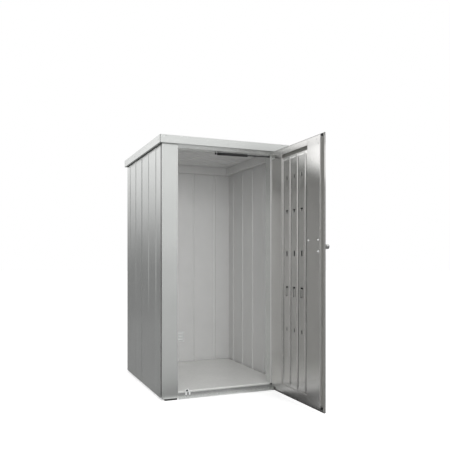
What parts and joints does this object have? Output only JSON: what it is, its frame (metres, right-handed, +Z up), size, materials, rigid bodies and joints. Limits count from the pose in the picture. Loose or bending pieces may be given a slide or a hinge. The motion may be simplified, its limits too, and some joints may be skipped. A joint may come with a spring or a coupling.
{
  "type": "patio storage cabinet",
  "caption": "Upright sheet-steel storage cabinet with a framed flat roof, one swinging door with a turning handle and lock rods, and a gas strut.",
  "frame": {"origin": "centre of the bounding box at ground level, with the door standing open", "axes": "+Z up, the doorway faces -Y, +X to the right of someone who faces the doorway"},
  "size_m": [0.995, 1.8344, 1.82],
  "materials": {
    "silver_paint": "smooth silver paint on zinc-coated sheet",
    "roof_paint": "smooth light silver paint",
    "galvanised": "plain zinc-coated sheet, slightly reflective",
    "bright_zinc": "bright zinc plating",
    "handle_chrome": "satin plated casting",
    "black_paint": "black enamel, half gloss",
    "black_rubber": "matt black",
    "black_nylon": "black nylon"
  },
  "bodies": {
    "cabinet": {"base_rail_front": "silver_paint", "base_rail_rear": "galvanised", "base_rail_left": "galvanised", "base_rail_right": "galvanised", "foot_front_left": "black_rubber", "foot_front_right": "black_rubber", "foot_rear_left": "black_rubber", "foot_rear_right": "black_rubber", "floor_plate": "galvanised", "pillar_front_left": "silver_paint", "pillar_front_right": "silver_paint", "corner_post_rear_left": "galvanised", "corner_post_rear_right": "galvanised", "wall_left_front": "silver_paint", "wall_left_rear": "silver_paint", "wall_right_front": "silver_paint", "wall_right_rear": "silver_paint", "wall_rear_left": "silver_paint", "wall_rear_right": "silver_paint", "vent_louvre": "silver_paint", "top_rail_front": "silver_paint", "top_rail_rear": "silver_paint", "top_rail_left": "silver_paint", "top_rail_right": "silver_paint", "roof_sheet": "galvanised", "roof_fascia_front": "roof_paint", "roof_fascia_rear": "roof_paint", "roof_fascia_left": "roof_paint", "roof_fascia_right": "roof_paint", "pivot_bracket_top": "bright_zinc", "pivot_bracket_bottom": "bright_zinc", "strike_bush_top": "bright_zinc", "strike_bush_bottom": "bright_zinc", "strut_bracket_header": "bright_zinc"},
    "door": {"door_skin": "silver_paint", "door_liner": "silver_paint", "door_stile_hinge": "silver_paint", "door_stile_lock": "silver_paint", "door_rail_top": "silver_paint", "door_rail_bottom": "silver_paint", "door_pivot_block_top": "bright_zinc", "door_pivot_block_bottom": "bright_zinc", "lock_case": "galvanised", "lock_screw_1": "bright_zinc", "lock_screw_2": "bright_zinc", "lock_screw_3": "bright_zinc", "rod_guide_top": "black_nylon", "rod_guide_bottom": "black_nylon", "strut_bracket_door": "bright_zinc", "handle_escutcheon": "handle_chrome"},
    "handle": {"handle_grip": "handle_chrome", "handle_spindle": "bright_zinc", "lock_cam": "bright_zinc"},
    "upper_rod": {"lock_rod_upper": "bright_zinc"},
    "lower_rod": {"lock_rod_lower": "bright_zinc"},
    "strut_tube": {"strut_cylinder": "black_paint"},
    "strut_piston": {"strut_rod": "black_paint"}
  },
  "joints": [
    {"name": "door_swing", "type": "hinge", "parent": "cabinet", "child": "door", "pos_m": [0.355, -0.19175, 0.8875], "axis": [0, 0, -1], "range_deg": [0, 90]},
    {"name": "handle_turn", "type": "hinge", "parent": "door", "child": "handle", "pos_m": [0.355, -0.83575, 1.05], "axis": [1, 0, 0], "range_deg": [0, 90]},
    {"name": "upper_rod_slide", "type": "slide", "parent": "door", "child": "upper_rod", "axis": [0, 0, 1], "range_m": [0, 0.018]},
    {"name": "lower_rod_slide", "type": "slide", "parent": "door", "child": "lower_rod", "axis": [0, 0, -1], "range_m": [0, 0.018]},
    {"name": "strut_swing", "type": "hinge", "parent": "cabinet", "child": "strut_tube", "pos_m": [-0.065, -0.14025, 1.727], "axis": [0, 0, 1], "range_deg": [0, 15.52]},
    {"name": "strut_extend", "type": "slide", "parent": "strut_tube", "child": "strut_piston", "axis": [0.9586, -0.2819, -0.0397], "range_m": [-0.02833, 0]}
  ],
  "couplings": [
    {"joint": "upper_rod_slide", "follows": "handle_turn", "m_per_rad": 0.011459},
    {"joint": "lower_rod_slide", "follows": "handle_turn", "m_per_rad": 0.011459},
    {"joint": "strut_swing", "follows": "door_swing", "ratio": 0.17242},
    {"joint": "strut_extend", "follows": "door_swing", "m_per_rad": -0.01803}
  ]
}
